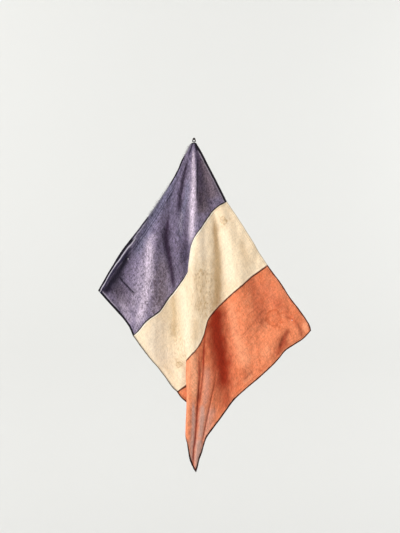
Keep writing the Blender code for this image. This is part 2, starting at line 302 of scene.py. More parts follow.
def gauzeCotton(panel):
    # Plain-woven cotton gauze, sun-faded and washed thin: matt, a little see-through, slubs both ways.
    # Painted highlights and painted shade are brushed along its folds
    material, tree = newMaterial(panel["material"])
    colors = {key: hexColor(value) for key, value in panel["colors"].items()}
    smooth = {"interpolation_type": "SMOOTHSTEP"}
    wide, long = panel["flat"]
    cut = addNode(tree, "UVMap", {}, uv_map="cut")
    inSpace = addNode(tree, "TexCoord", {}, "Object")
    across, down = addNode(tree, "SeparateXYZ", {0: cut}).node.outputs[:2]
    cloud = {}
    for name, (onCut, sizes, detail, low, high, seed) in weave["clouds"].items():
        scale = [1 / (size * mm) for size in sizes]
        start = (seed, seed * 0.7, seed * 1.3)
        moved = addNode(tree, "Mapping", {0: cut if onCut else inSpace, 1: start, 3: scale})
        soft = addNode(tree, "TexNoise", {"Vector": moved, "Scale": 1.0, "Detail": detail})
        cloud[name] = addNode(tree, "MapRange", {0: soft, 1: low, 2: high})
    threads = addNode(tree, "Math", {0: cloud["weftSlub"], 1: cloud["warpSlub"]}, operation="ADD")
    threads = addNode(tree, "Math", {0: threads, 1: 0.5}, operation="MULTIPLY")

    # the colour: faded patches in the dye; along the folds painted highlights, painted shade, dark lines
    # of mostly painted crease shadow, and greyer patches; grime as specks in the more worn parts
    layers = []
    # the mottle's faded dye shares its colour with the painted highlights
    for name, added in (("blotch", "second"), ("mottle", "pale")):
        amount = addNode(tree, "Math", {0: cloud[name], 1: panel[name]}, operation="MULTIPLY")
        layers.append((amount, colors[added]))
    # tones from the brushed strokes: painted highlights, painted shade, dark crease lines, greyer patches
    # and grime specks
    for tone in tones:
        amount = addNode(tree, "Attribute", {}, 2, attribute_name=tone)
        if tone == "grime":
            amount = addNode(tree, "Math", {0: cloud["speck"], 1: amount}, operation="MULTIPLY")
        layers.append((amount, colors[tone]))
    for centreX, drop, radius, rimWidth, strength, stainColor in panel["stains"]:
        # a dried ring: dark at its rim, faint inside
        radius *= mm
        level = addNode(tree, "VectorMath", {0: inSpace, 1: (1, 0, 1)}, operation="MULTIPLY")
        centre = (centreX * mm, 0, -drop * mm)
        apart = addNode(tree, "VectorMath", {0: level, 1: centre}, "Value", operation="DISTANCE")
        uneven = addNode(tree, "MapRange", {0: cloud["mottle"], 3: -1.4 * radius, 4: -0.6 * radius})
        beyond = addNode(tree, "Math", {0: apart, 1: uneven}, operation="ADD")
        offRim = addNode(tree, "Math", {0: beyond}, operation="ABSOLUTE")
        rim = addNode(tree, "MapRange", {0: offRim, 1: 0, 2: rimWidth * mm, 3: strength, 4: 0}, **smooth)
        fill = {0: beyond, 1: -0.5 * radius, 2: 0, 3: 0.45 * strength, 4: 0}
        fill = addNode(tree, "MapRange", fill, **smooth)
        ring = addNode(tree, "Math", {0: rim, 1: fill}, operation="MAXIMUM")
        layers.append((ring, hexColor(stainColor)))

    # thin and thick places of the weave: one shade over and under the dye's own colour
    thickness = ((cloud["grain"], panel["grain"], 0.5), (cloud["crinkle"], panel["crinkle"], 0.5),
                 (threads, -panel["slub"], 0.4))
    shade = 1 - sum(amount * middle for source, amount, middle in thickness)
    for source, amount, middle in thickness:
        shade = addNode(tree, "Math", {0: source, 1: amount, 2: shade}, operation="MULTIPLY_ADD")
    layers.append((1.0, shade))

    # hems, seams and edge lines
    ripple = weave["ripple"] * mm
    ripple = addNode(tree, "MapRange", {0: cloud["mottle"], 3: -ripple, 4: ripple})
    fromRight = addNode(tree, "Math", {0: wide, 1: across}, operation="SUBTRACT")
    fromFoot = addNode(tree, "Math", {0: long, 1: down}, operation="SUBTRACT")
    sides = {"left": (across, down), "right": (fromRight, down), "top": (down, across),
             "foot": (fromFoot, across)}
    for side, near, far, first, last, amount, bandColor in panel["bands"]:
        inward, alongEdge = sides[side]
        inward = addNode(tree, "Math", {0: inward, 1: ripple}, operation="ADD")
        edge, end = weave["soft"]
        for source, limit, soft, before in (
                (inward, far, edge, 1), (inward, near, edge, 0),
                (alongEdge, first, end, 0), (alongEdge, last, end, 1)):
            if limit:
                low, high = (limit - soft) * mm, (limit + soft) * mm
                ramp = {0: source, 1: low, 2: high, 3: before, 4: 1 - before}
                ramp = addNode(tree, "MapRange", ramp, **smooth)
                amount = addNode(tree, "Math", {0: amount, 1: ramp}, operation="MULTIPLY")
        layers.append((amount, hexColor(bandColor)))
    stitches = 0.0
    for side, away in panel["stitches"]:
        # hand-sized stitches, 3 mm long, one every 4.5 mm
        inward, alongEdge = sides[side]
        offLine = addNode(tree, "Math", {0: inward, 1: away * mm}, operation="SUBTRACT")
        offLine = addNode(tree, "Math", {0: offLine}, operation="ABSOLUTE")
        narrow, broad = weave["stitchHalf"]
        line = {0: offLine, 1: narrow * mm, 2: broad * mm, 3: 1, 4: 0}
        line = addNode(tree, "MapRange", line, **smooth)
        beat = addNode(tree, "Math", {0: alongEdge, 1: weave["stitch"] * mm}, operation="DIVIDE")
        beat = addNode(tree, "Math", {0: beat, 1: 0.5}, operation="PINGPONG")
        starts, full = weave["stitchEnd"]
        dash = addNode(tree, "MapRange", {0: beat, 1: starts, 2: full}, **smooth)
        dash = addNode(tree, "Math", {0: line, 1: dash}, operation="MULTIPLY")
        stitches = addNode(tree, "Math", {0: stitches, 1: dash}, operation="MAXIMUM")
    inked = addNode(tree, "Math", {0: stitches, 1: 0.7}, operation="MULTIPLY")
    layers.append((inked, colors["stitch"]))

    color = colors["base"]
    for amount, added in layers:
        mixed = {0: amount, 6: color, 7: added}
        blend = "MULTIPLY" if added is shade else "MIX"
        color = addNode(tree, "Mix", mixed, 2, data_type="RGBA", blend_type=blend)

    # woven relief: thread bands and slubs, with the stitches pressed in
    scale = round(math.pi / (10 * weave["threadGap"] * mm))
    waves = {"Vector": cut, "Scale": scale, "Distortion": 1.2, "Detail": 1.0}
    warp = addNode(tree, "TexWave", waves, 1, bands_direction="X")
    weft = addNode(tree, "TexWave", waves, 1, bands_direction="Y")
    woven = addNode(tree, "Math", {0: warp, 1: weft}, operation="MULTIPLY")
    raised = addNode(tree, "Math", {0: woven, 1: 0.3, 2: threads}, operation="MULTIPLY_ADD")
    raised = addNode(tree, "Math", {0: cloud["crinkle"], 1: 0.7, 2: raised}, operation="MULTIPLY_ADD")
    raised = addNode(tree, "Math", {0: raised, 1: stitches}, operation="SUBTRACT")
    bump = addNode(tree, "Bump", {"Height": raised, "Strength": 0.5, "Distance": weave["bump"] * mm})
    roughness = addNode(tree, "Math", {0: threads, 1: 0.08, 2: 0.86}, operation="MULTIPLY_ADD")
    cloth = addNode(tree, "BsdfPrincipled", {
        "Base Color": color, "Roughness": roughness, "Normal": bump, "IOR": 1.45,
        "Specular IOR Level": 0.15, "Sheen Weight": 0.05, "Sheen Roughness": 0.6})
    through = addNode(tree, "BsdfTranslucent", {"Color": color, "Normal": bump})
    both = addNode(tree, "MixShader", {0: panel["through"], 1: cloth, 2: through})
    addNode(tree, "OutputMaterial", {0: both})
    return material


# Panels. Tones are brushed in strokes: (amount, points), a point being (sideways, drop, half width).
# Bands lie along an edge: (side, near, far, first, last, amount, colour), and 0 as last means to the end.
# Stains are rings: (sideways, drop, radius, rim, amount, colour). Holes (across, down, radius) and worn
# stretches (first, last, depth) are on the flat cloth, whose size is in metres. Borders and hems go left,
# right, top, foot
# in order: greyer patches, painted shade on sides turned from the light, painted highlights, deep painted
# shade, dark lines of mostly painted crease shadow, and grime
tones = ("ash", "dull", "pale", "dusk", "line", "grime")
bluePanel = {
    "node": "blue_hoist_panel", "name": "BlueHoistPanel", "slot": "faded_blue_cotton",
    "borders": (hoistEdge, blueSeam, blueTop, blueFoot),
    "flat": (0.25, 0.60), "hems": (30.0, 0.0, 8.0, 8.0), "material": "fadedBlueCottonGauze",
    # the fold colours include painted highlight and painted shade; the palest also tints the faded mottle
    "colors": {
        "base": "#776B85", "second": "#635A73", "pale": "#D8C8DA", "ash": "#666982", "dull": "#6E5F68",
        "dusk": "#322238", "line": "#161022", "stitch": "#2A2433", "grime": "#46343A"},
    "blotch": 0.9, "mottle": 0.08, "slub": 0.5, "crinkle": 0.7, "grain": 0.65, "through": 0.12,
    "ash": (
        (0.3, (53, 144, 6), (69, 190, 9), (84, 213, 9.9)),
        (0.5, (-20, 137, 6.6), (-23, 186, 8.2), (-31, 219, 8.2), (-43, 276, 8.2), (-46, 335, 8.2)),
        (0.5, (-59, 87, 13.2), (-86, 163, 16.5), (-119, 223, 19.8), (-145, 276, 16.5),
            (-175, 335, 16.5), (-195, 388, 13.2)),
    ),
    # painted shade: muted strokes on the sides of folds turned from the light
    "dull": (
        (0.9, (22, 60, 10), (38, 110, 20), (52, 160, 28), (58, 205, 30)),
        (0.9, (24, 170, 18), (28, 205, 22), (26, 250, 18)),
        (0.5, (-108, 400, 16), (-104, 450, 24), (-110, 520, 28), (-135, 580, 22)),
        (0.4, (-255, 480, 18), (-235, 520, 26), (-215, 560, 20)),
    ),
    # painted highlights: lighter strokes on the crests and on the sides of folds turned to the light
    "pale": (
        (0.9, (-2, 34, 2), (-2, 56, 3), (-1, 98, 5.5), (-1, 160, 7.4), (-5, 243, 8.6), (-8, 299, 8.6),
            (-12, 345, 5)),
        (0.2, (-108, 470, 14), (-112, 530, 18), (-140, 590, 16)),
        (0.3, (-250, 520, 12), (-228, 570, 16), (-205, 612, 16)),
        (0.25, (-41, 239, 4.6), (-45, 276, 5.3), (-43, 315, 4.6)),
        (0.16, (-112, 380, 16), (-98, 430, 20), (-90, 480, 20), (-98, 530, 20)),
        (0.66, (-147, 325, 7), (-148, 375, 13), (-150, 427, 15), (-157, 493, 16), (-172, 559, 15),
            (-190, 625, 11)),
        (0.3, (-125, 318, 9.9), (-145, 335, 13.2), (-182, 500, 19.8), (-198, 582, 16.5)),
    ),
    # painted shade: dark strokes in the valleys, on the sides turned from the light and under the rolled
    # hem
    "dusk": (
        (0.7, (10, 28, 4.9), (15, 64, 9.9), (20, 104, 13.2), (21, 170, 11.5), (20, 243, 9.9)),
        (0.35, (36, 137, 13.2), (43, 219, 16.5)),
        (0.55, (56, 203, 4.3), (58, 216, 3.3)),
        (0.75, (-21, 71, 4.3), (-32, 114, 5.9), (-38, 140, 6.6), (-45, 182, 7.9), (-48, 213, 8.6),
            (-52, 246, 5.9)),
        (0.35, (-25, 219, 5.9), (-25, 285, 7.3), (-26, 361, 7.3), (-26, 408, 5.3)),
        (0.95, (-84, 240, 3), (-89, 290, 9), (-93, 325, 11.5), (-90, 355, 12), (-84, 384, 11),
            (-77, 421, 9), (-71, 464, 7), (-67, 510, 4.6)),
        (0.3, (-224, 480, 13.2), (-251, 520, 13.2), (-231, 546, 9.9)),
        (0.8, (-310, 502, 5), (-290, 500, 8), (-268, 496, 7)),
    ),
    # painted shade: dark lines along the creases, and the fold shadow in the hem at the lower hoist
    # corner
    "line": (
        (0.8, (-4, 12, 1.8), (-9, 29, 2.6), (-13, 40, 3), (-20, 56, 2)),
        (0.95, (3, 14, 1.8), (6, 27, 2.8), (10, 41, 2)),
        (0.8, (11, 64, 2.3), (11, 130, 2.6), (10, 203, 2.3)),
        (0.95, (-300, 505, 9), (-284, 494, 13), (-271, 473, 15), (-251, 444, 13), (-231, 408, 9),
            (-214, 372, 4.5)),
        (0.9, (-252, 450, 3), (-236, 474, 3), (-213, 497, 2.6), (-196, 513, 1.6)),
    ),
    "grime": (
        (0.6, (-118, 430, 30), (-125, 520, 40), (-150, 590, 30)),
        (0.4, (-60, 260, 20), (-40, 380, 25), (-50, 480, 20)),
    ),
    "bands": (
        ("right", 0, 3.4, 0, 0, 1.0, "#0E0A10"),
        ("top", 0, 8.0, 0, 0, 0.97, "#120D14"), ("top", 8.5, 11.5, 40, 0, 0.5, "#9A929B"),
        # the black foot band is the doubled hem, darkened further by painted shade
        ("foot", 0, 7.2, 0, 0, 0.97, "#0E0B12"), ("foot", 7.5, 11.0, 0, 120, 0.5, "#B9B0BE"),
        ("left", 0, 4.5, 20, 62, 0.6, "#A9A6A8"), ("left", 0, 8, 0, 16, 0.97, "#121018"),
        ("left", 0, 5.5, 62, 175, 0.95, "#121018"),
        ("left", 0, 5.0, 185, 300, 0.45, "#8E8F93"), ("left", 0, 5.0, 305, 420, 0.85, "#100D18"),
        # on the rolled hoist hem the pale lines 6 to 8 and 9.2 to 12.2 mm in are a painted highlight on
        # its crest, and the dark band 14 to 22 mm in is its painted shadow
        ("left", 6.0, 8.0, 320, 415, 0.4, "#C6C2CC"), ("left", 0, 8.5, 400, 0, 0.97, "#100D18"),
        ("left", 9.2, 12.2, 395, 0, 0.85, "#C6C2CC"), ("left", 14.0, 22.0, 430, 0, 0.8, "#1B1730"),
        ("left", 27.0, 30.0, 170, 420, 0.6, "#3C3650"), ("left", 20.0, 22.5, 170, 420, 0.45, "#3C3650"),
    ),
    "stitches": (("left", 28.5), ("left", 21.5), ("top", 7.5), ("foot", 7.0)),
    "stains": ((-118, 520, 15, 4, 0.3, "#4B3E48"),),
    "holes": ((33.75, 461.25, 1.3),),
    "worn": ((0, 70, 3.0), (170, 310, 3.5)),
}
creamPanel = {
    "node": "cream_middle_panel", "name": "CreamMiddlePanel", "slot": "yellowed_cream_cotton",
    "borders": (blueSeam, redSeam, creamTop, creamFoot),
    "flat": (0.25, 0.60), "hems": (0.0, 0.0, 8.0, 8.0), "material": "yellowedCreamCottonGauze",
    # the fold colours include painted highlight and painted shade; the palest also tints the faded mottle
    "colors": {
        "base": "#F4E0C2", "second": "#EDD7B6", "pale": "#FBF0DA", "ash": "#EADBC9", "dull": "#CDB994",
        "dusk": "#C6A373", "line": "#8A6C48", "stitch": "#B59A72", "grime": "#B08A52"},
    "blotch": 0.6, "mottle": 0.25, "slub": 0.14, "crinkle": 0.14, "grain": 0.12, "through": 0.22,
    "ash": (
        (0.35, (30, 295, 9.9), (26, 351, 13.2), (30, 408, 14.8)),
        (0.6, (-100, 590, 26), (-125, 650, 34), (-120, 700, 30), (-90, 750, 26)),
    ),
    # painted shade: muted strokes on the sides of folds turned from the light
    "dull": (
        (0.35, (-72, 470, 12), (-66, 540, 18), (-62, 600, 20), (-66, 660, 16)),
    ),
    # painted highlights: lighter strokes on the crests and on the sides of folds turned to the light
    "pale": (
        (0.55, (92, 289, 8.2), (106, 355, 14.8), (114, 421, 16.5), (114, 480, 16.5)),
        (0.35, (7, 335, 6.6), (-5, 375, 8.2), (-3, 421, 9.9)),
        (0.9, (2, 325, 4), (-9, 355, 6), (-11, 385, 7), (-14, 415, 6), (-30, 440, 4)),
        (0.4, (-41, 480, 9.9), (-35, 533, 13.2), (-28, 592, 13.9), (-24, 655, 13.2), (-26, 705, 9.9)),
        (0.35, (-43, 771, 9.9), (-43, 810, 9.9)),
    ),
    # painted shade: dark strokes in the valleys and on the sides turned from the light
    "dusk": (
        (0.75, (69, 262, 4), (69, 302, 7.3), (73, 348, 10.6), (76, 391, 12.5), (77, 437, 13.9),
            (77, 493, 15.2), (72, 540, 14), (62, 585, 12)),
        (0.3, (152, 335, 8.2), (167, 381, 13.2), (182, 424, 14.8)),
        (0.35, (20, 441, 16.5), (26, 493, 21.4), (26, 540, 23.1), (33, 573, 16.5)),
        (0.45, (-69, 507, 6.6), (-67, 559, 8.2), (-66, 615, 9.2), (-68, 665, 7.9)),
        (0.35, (7, 592, 11.5), (5, 632, 11.5), (0, 665, 9.9)),
        (0.3, (-53, 724, 8.2), (-50, 754, 8.2)),
    ),
    "line": (),
    "grime": (
        (0.6, (20, 410, 22), (35, 480, 36), (45, 545, 38), (15, 590, 26)),
        (0.35, (-90, 600, 30), (-40, 680, 30), (-60, 760, 20)),
        (0.4, (92, 262, 20), (110, 285, 20)),
    ),
    "bands": (
        # the near-white band beside the blue seam is a painted highlight, and the grey-brown band along
        # the top edge is a painted shadow
        ("left", 1.5, 6.0, 60, 0, 0.75, "#FFF9EC"), ("right", 2.0, 6.0, 0, 0, 0.25, "#FFF1DA"),
        ("right", 0, 1.6, 0, 0, 0.7, "#7A3A26"), ("left", 0, 1.4, 0, 0, 0.8, "#2A2228"),
        ("top", 0, 3.5, 0, 0, 0.5, "#BBAF9A"), ("foot", 0, 5.2, 0, 0, 0.88, "#4E4438"),
        ("foot", 4.0, 8.0, 0, 0, 0.4, "#FDF1DA"),
    ),
    "stitches": (("top", 7.0), ("foot", 7.0), ("left", 6.0)),
    "stains": ((97, 271, 10, 3.5, 0.5, "#C09A62"), (-49, 748, 8, 4, 0.5, "#B08F62"),
               (16, 545, 9, 3, 0.3, "#B08A55")),
    "holes": (),
    "worn": (),
}
redPanel = {
    "node": "red_fly_panel", "name": "RedFlyPanel", "slot": "faded_red_cotton",
    "borders": (redSeam, flyEdge, redTop, redFoot),
    "flat": (0.25, 0.60), "hems": (0.0, 8.0, 8.0, 8.0), "material": "fadedRedCottonGauze",
    # the fold colours include painted highlight and painted shade; the palest also tints the faded mottle
    "colors": {
        "base": "#E8895E", "second": "#D87349", "pale": "#FDB48A", "ash": "#D0A698", "dull": "#C06048",
        "dusk": "#9C2408", "line": "#862716", "stitch": "#7A2E1E", "grime": "#7A3018"},
    "blotch": 0.8, "mottle": 0.22, "slub": 0.26, "crinkle": 0.3, "grain": 0.2, "through": 0.16,
    "ash": (
        (0.45, (43, 751, 9.9), (43, 797, 11.2), (38, 843, 10.6), (33, 883, 8.6)),
        (0.9, (-2, 860, 4), (-2, 900, 6), (-3, 950, 7), (-5, 1000, 8), (-8, 1040, 7), (-4, 1070, 5)),
        (0.85, (29, 870, 7), (27, 910, 9), (24, 950, 10), (19, 990, 11)),
        (0.95, (20, 980, 12), (15, 1020, 14), (11, 1060, 10), (6, 1085, 5)),
        (0.5, (58, 880, 12), (50, 920, 14), (42, 965, 10), (34, 1000, 7)),
    ),
    # painted shade: muted strokes on the sides of folds turned from the light
    "dull": (
        (0.3, (230, 470, 24), (255, 520, 26), (285, 560, 24)),
    ),
    # painted highlights: lighter strokes on the crests and on the sides of folds turned to the light
    "pale": (
        (0.45, (117, 540, 9.9), (125, 582, 14.8), (135, 632, 18.1), (147, 678, 19.8), (162, 724, 21.4),
            (185, 751, 19.8)),
        (0.5, (365, 609, 8.2), (371, 635, 9.9)),
        (0.35, (224, 718, 16.5), (251, 691, 16.5)),
        (0.35, (191, 777, 8.2), (162, 807, 8.2)),
        (0.95, (-3, 695, 8), (0, 745, 14), (1, 800, 14), (3, 860, 9)),
        (0.25, (-18, 764, 4.3), (-19, 863, 4.6), (-19, 955, 4.6)),
    ),
    # painted shade: dark strokes in the valleys and on the sides turned from the light
    "dusk": (
        (0.95, (80, 545, 12), (74, 580, 24), (72, 615, 30), (76, 655, 33), (84, 700, 33), (94, 745, 31),
            (98, 785, 27), (102, 860, 24)),
        (0.42, (84, 770, 30), (88, 810, 34), (96, 850, 30), (106, 890, 20), (114, 915, 12)),
        (0.62, (92, 715, 28), (98, 775, 28), (102, 825, 24), (106, 865, 17), (112, 900, 9)),
        (0.36, (176, 450, 14), (196, 490, 20), (210, 530, 22), (220, 573, 23), (211, 619, 20)),
        (0.22, (257, 533, 16.5), (297, 559, 13.2), (330, 602, 10.6), (351, 632, 7.9), (351, 658, 6.6)),
        (0.45, (310, 670, 14), (292, 690, 16), (268, 715, 12)),
        (0.75, (44, 600, 3), (40, 625, 3.6), (36, 652, 3.6), (33, 688, 3.3), (31, 724, 3), (31, 760, 3)),
        (0.35, (24, 680, 6), (22, 740, 7), (19, 820, 6), (15, 880, 4)),
    ),
    # dark lines: painted crease shadows, and a few thin diagonal streaks along the weave
    "line": (
        (0.6, (360, 579, 2), (378, 610, 2.3), (381, 635, 2)),
        (0.35, (290, 582, 2.3), (330, 599, 2.6), (353, 629, 2.6), (356, 655, 2.6)),
        (0.72, (312, 628, 5), (296, 662, 9), (280, 697, 6)),
        (0.4, (162, 797, 2), (193, 767, 2)),
        (0.3, (174, 585, 2), (214, 554, 2)),
        (0.85, (16, 705, 1.6), (16, 734, 2.3), (17, 771, 2.6), (16, 810, 3), (13, 850, 4),
            (11, 886, 4.9), (9, 926, 3.3), (6, 962, 3), (3, 995, 3), (-2, 1021, 2.6), (-3, 1054, 2.6),
            (0, 1081, 2)),
        (0.75, (34, 675, 2), (31, 721, 2.3), (30, 764, 2.6), (26, 804, 2.6), (21, 843, 3),
            (17, 876, 3.3)),
        (0.6, (73, 784, 1.3), (65, 817, 2), (56, 856, 2.3), (48, 893, 2.3), (41, 926, 2.3),
            (34, 959, 2.3), (26, 998, 2)),
        (0.3, (155, 655, 1.6), (231, 566, 1.6)),
        (0.25, (180, 668, 1.6), (243, 590, 1.6)),
    ),
    "grime": (
        (0.5, (215, 612, 22), (235, 596, 20)),
        (0.3, (150, 790, 20), (290, 680, 24)),
    ),
    "bands": (
        ("left", 0, 3.4, 0, 0, 0.9, "#3A110C"),
        ("top", 0, 4.2, 0, 0, 0.9, "#3A120E"), ("top", 5.0, 9.0, 0, 0, 0.35, "#F5A27E"),
        ("right", 0, 4.2, 0, 0, 0.92, "#2E1210"), ("right", 5.0, 9.0, 60, 420, 0.3, "#F7A67E"),
        ("right", 10.5, 12.0, 120, 400, 0.4, "#9A4628"),
        ("foot", 0, 4.8, 0, 0, 0.9, "#2E1210"), ("foot", 0, 7.0, 175, 0, 0.95, "#1E0A0A"),
        ("right", 0, 6.0, 330, 0, 0.9, "#2A1010"),
    ),
    "stitches": (("top", 7.5), ("right", 7.5), ("foot", 7.5)),
    "stains": ((265, 595, 22, 9, 0.55, "#B24E28"), (160, 770, 10, 4, 0.3, "#A8492B")),
    "holes": ((181.25, 41.25, 1.3),),
    "worn": (),
}


# How strokes waver and fade at their ends, and where the pleat's front layer lies, in millimetres
brushing = {"waver": 0.45, "sizeAcross": 14, "sizeDown": 26, "endAmount": 0.3, "endFade": 0.16,
            "pleatDrop": 660, "pleatRun": -14, "pleatSide": -22}


def brush(strokes, sideways, drop, run):
    # the strongest stroke at each point; below the pleat's start a stroke keeps to the front layer
    total = np.zeros(len(drop))
    across, down = brushing["sizeAcross"], brushing["sizeDown"]
    uneven = 1 + brushing["waver"] * np.array([noise.noise((x / across, d / down, 9.1))
                                               for x, d in zip(sideways, drop)])
    inFront = ((drop < brushing["pleatDrop"]) | (run > brushing["pleatRun"])
               | (sideways < brushing["pleatSide"]))
    for amount, *points in strokes:
        for index, ((x0, d0, w0), (x1, d1, w1)) in enumerate(zip(points, points[1:])):
            reach = np.array((x1 - x0, d1 - d0), dtype=float)
            share = ((sideways - x0) * reach[0] + (drop - d0) * reach[1]) / (reach @ reach)
            share = np.clip(share, 0, 1)
            apart = np.hypot(sideways - x0 - share * reach[0], drop - d0 - share * reach[1]) * uneven
            fromEnd = 0.5 - np.abs((index + share) / (len(points) - 1) - 0.5)
            soft = amount * np.clip(brushing["endAmount"] + fromEnd / brushing["endFade"], 0, 1)
            total = np.maximum(total, soft / (1 + (apart / (w0 + (w1 - w0) * share)) ** 3))
    return total * inFront


def setMode(name):
    bpy.ops.object.mode_set(mode=name)


def roundEdges(piece, width, steps):
    rounding = piece.modifiers.new("roundEdges", "BEVEL")
    rounding.width = width
    rounding.segments = steps
    rounding.limit_method = "ANGLE"
    bpy.ops.object.modifier_apply(modifier="roundEdges")


def meshPiece(name, verts, faces):
    # a mesh with all its faces turned outwards
    mesh = bpy.data.meshes.new(name)
    mesh.from_pydata(verts, [], faces)
    piece = bpy.data.objects.new(name, mesh)
    bpy.context.scene.collection.objects.link(piece)
    bpy.ops.object.select_all(action="DESELECT")
    piece.select_set(True)
    bpy.context.view_layer.objects.active = piece
    setMode("EDIT")
    bpy.ops.mesh.select_all(action="SELECT")
    bpy.ops.mesh.normals_make_consistent(inside=False)
    setMode("OBJECT")
    return piece


def selectNone(kind):
    # nothing selected, and edges or faces to pick
    setMode("EDIT")
    bpy.ops.mesh.select_mode(type=kind)
    bpy.ops.mesh.select_all(action="DESELECT")
    setMode("OBJECT")


# How the sheets are laid and sewn, in millimetres
sewing = {
    "spacing": 2.5, "quickSpacing": 5.0,
    "thickness": 2.0, "single": 0.3,        # of a folded hem, and the share of it in single cloth
    "edge": 5.0, "hemSoft": 2.5,            # a turned edge where no hem is named, and how it thins out
    "biteLength": 5.0, "wornSoft": 20.0,
}


def makePanel(panel):
    spacing = sewing["spacing"]
    wide, long = (size / mm for size in panel["flat"])
    columns, rows = int(wide / spacing) + 1, int(long / spacing) + 1
    bpy.ops.object.select_all(action="DESELECT")
    bpy.ops.mesh.primitive_grid_add(x_subdivisions=columns - 1, y_subdivisions=rows - 1, size=1)
    piece = bpy.context.object
    piece.name = panel["name"]
    mesh = piece.data
    grid = np.meshgrid(np.linspace(0, 1, columns), np.linspace(0, 1, rows))
    across, down = (shares.ravel() for shares in grid)

    # where the edge is worn it is eaten away by up to a few millimetres
    wear = np.zeros(len(across))
    for first, last, depth in panel["worn"]:
        bites = np.array([abs(noise.noise((d * long / sewing["biteLength"], 3.3, 0))) for d in down])
        wear += bites * depth * window(down * long, first, last, sewing["wornSoft"]) * (across == 0)
    run, drop = panelPlaces(panel["borders"], across + wear / wide, down)
    place = dressedCloth(run, drop)
    mesh.vertices.foreach_set("co", (place * mm).ravel())
    # the grid's faces point along the flat grid's +Z, which is the cloth's back: turn them to the front
    mesh.flip_normals()
    # the brushed tones, most of them painted highlight and painted shade, are stored on the points
    for tone in tones:
        amounts = brush(panel[tone], place[:, 0], -place[:, 2], run).astype(np.float32)
        mesh.attributes.new(tone, "FLOAT", "POINT").data.foreach_set("value", amounts)

    uv = mesh.uv_layers[0]
    uv.name = "cut"
    corners = np.empty(len(mesh.loops), dtype=np.int32)
    mesh.loops.foreach_get("vertex_index", corners)
    cut = np.stack([across * wide * mm, down * long * mm], axis=1)
    uv.data.foreach_set("uv", cut[corners].astype(np.float32).ravel())

    # hems, sleeve and seam allowances are two or three layers thick
    fromEdges = (across * wide, (1 - across) * wide, down * long, (1 - down) * long)
    thick = np.zeros(len(run))
    for hem, distance in zip(panel["hems"], fromEdges):
        folded = ((hem or sewing["edge"]) - distance) / sewing["hemSoft"] + 0.5
        thick = np.maximum(thick, np.clip(folded, 0, 1))
    group = piece.vertex_groups.new(name="thick")
    levels = np.round(sewing["single"] + (1 - sewing["single"]) * thick, 1)
    for level in np.unique(levels):
        group.add([int(i) for i in np.nonzero(levels == level)[0]], float(level), "REPLACE")

    # pinholes: the faces there are left out
    centres = cut[corners].reshape(-1, 4, 2).mean(axis=1)
    gone = np.zeros(len(centres), dtype=bool)
    for u, v, radius in panel["holes"]:
        gone |= np.hypot(centres[:, 0] - u * mm, centres[:, 1] - v * mm) < radius * mm
    selectNone("FACE")
    mesh.polygons.foreach_set("select", gone)
    setMode("EDIT")
    bpy.ops.mesh.delete(type="FACE")
    setMode("OBJECT")

    solid = piece.modifiers.new("clothThickness", "SOLIDIFY")
    solid.thickness = sewing["thickness"] * mm
    solid.offset = 0.0
    solid.vertex_group = "thick"
    bpy.ops.object.modifier_apply(modifier="clothThickness")
    bpy.ops.object.shade_smooth()
    mesh.materials.append(gauzeCotton(panel))
    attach(piece, "root")
    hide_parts(panel["node"])
    print("made", panel["name"], len(piece.data.polygons), "faces")


# Loose threads along the worn parts of the hoist edge, and a few on the other edges:
# (border, first share, last share, count, longest, (sideways, down)), in millimetres
fray = {
    "radius": 0.22, "steps": 3, "sides": 3,
    "spread": 0.45, "bend": 0.35, "flatter": 0.7,    # the threads spread less off the wall
    "shortest": 0.3, "rooted": 1.0, "curl": 0.4, "taper": 0.6, "seed": 17,
    "tufts": (
        (hoistEdge, 0.03, 0.11, 70, 8.0, (-0.9, -0.3)),
        (hoistEdge, 0.27, 0.52, 190, 9.0, (-0.9, -0.4)),
        (hoistEdge, 0.40, 0.41, 8, 17.0, (-1.0, -0.2)),
        (hoistEdge, 0.55, 0.98, 40, 6.0, (-0.8, -0.5)),
        (creamTop, 0.02, 0.98, 40, 4.0, (0.8, -0.5)),
        (creamFoot, 0.05, 0.95, 30, 4.0, (-0.7, 0.6)),
        (flyEdge, 0.05, 0.95, 40, 4.0, (0.7, 0.6)),
        (redFoot, 0.80, 1.0, 20, 6.0, (-0.2, 0.9)),
    ),
}


def makeFray():
    chance = np.random.default_rng(fray["seed"])
    verts, faces = [], []
    steps, sides = fray["steps"], fray["sides"]
    for border, first, last, count, longest, (outX, outDown) in fray["tufts"]:
        run, drop = along(border, chance.uniform(first, last, count)).T
        for root in dressedCloth(run, drop):
            spread = chance.normal(0, fray["spread"], 3) * (1, fray["flatter"], 1)
            way = np.array((outX, 0.0, -outDown)) + spread
            way /= np.linalg.norm(way)
            bend = chance.normal(0, fray["bend"], 3)
            length = longest * chance.uniform(fray["shortest"], 1.0)
            base = len(verts)
            for step in range(steps + 1):
                share = step / steps
                middle = root + way * (length * share - fray["rooted"])
                middle += bend * length * fray["curl"] * share ** 2
                middle[2] -= share ** 2
                radius = fray["radius"] * (1 - fray["taper"] * share)
                for k in range(sides):
                    angle = 2 * math.pi * k / sides
                    offset = (math.cos(angle), math.sin(angle), math.cos(angle + 1.1))
                    verts.append((middle + np.array(offset) * radius) * mm)
            for step in range(steps):
                for k in range(sides):
                    a, b = base + step * sides + k, base + step * sides + (k + 1) % sides
                    faces.append((a, b, b + sides, a + sides))
            end = base + steps * sides
            faces += [tuple(range(base + sides - 1, base - 1, -1)), tuple(range(end, end + sides))]
    piece = meshPiece("FrayedThreads", [tuple(v) for v in verts], faces)
    piece.data.materials.append(greyCottonLint())
    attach(piece, "root")
    print("made frayed threads", len(faces), "faces")


